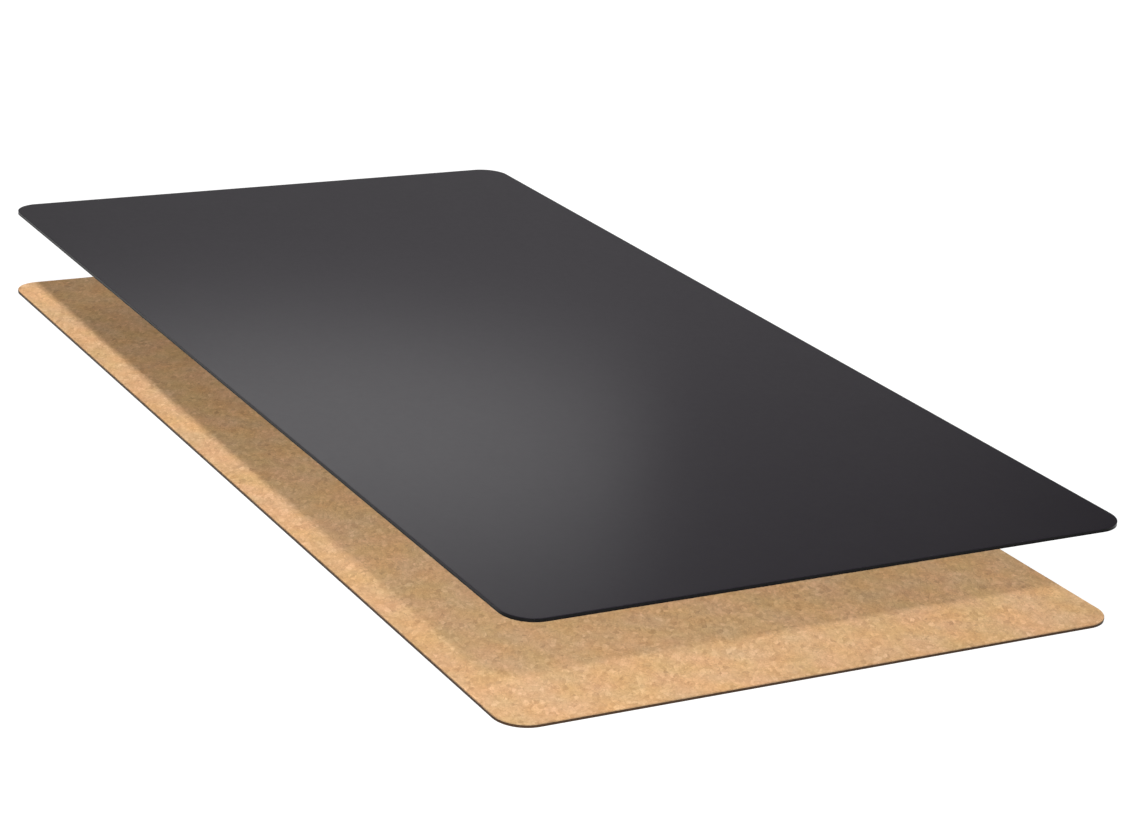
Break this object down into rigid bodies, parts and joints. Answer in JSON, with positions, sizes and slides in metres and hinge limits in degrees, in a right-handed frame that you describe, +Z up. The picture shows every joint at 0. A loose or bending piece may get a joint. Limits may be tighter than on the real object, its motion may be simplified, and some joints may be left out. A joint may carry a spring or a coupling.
{
  "type": "desk mat",
  "caption": "Rectangular desk mat in two loose sheets with rounded corners: a smooth black leather-look sheet held level above a cork sheet with a dark base.",
  "frame": {"origin": "middle of the cork sheet's underside, on the desk", "axes": "+X along the long edges, to the right of a user who sits on the -Y side; +Y away from that user; +Z up off the desk"},
  "size_m": [0.7, 0.35, 0.0546],
  "materials": {
    "pu_leather": "smooth satin",
    "fibre_core": "matt",
    "suede": "matt napped",
    "cork": "matt granular",
    "base_rubber": "matt"
  },
  "bodies": {
    "cork_sheet": {"cork_base": "base_rubber", "cork_face": "cork"},
    "leather_sheet": {"leather_backing": "suede", "leather_core": "fibre_core", "leather_face": "pu_leather"}
  },
  "joints": [
    {"name": "leather_sheet_lift", "type": "slide", "parent": "cork_sheet", "child": "leather_sheet", "axis": [0, 0, 1], "range_m": [-0.0505, 0.05]}
  ]
}
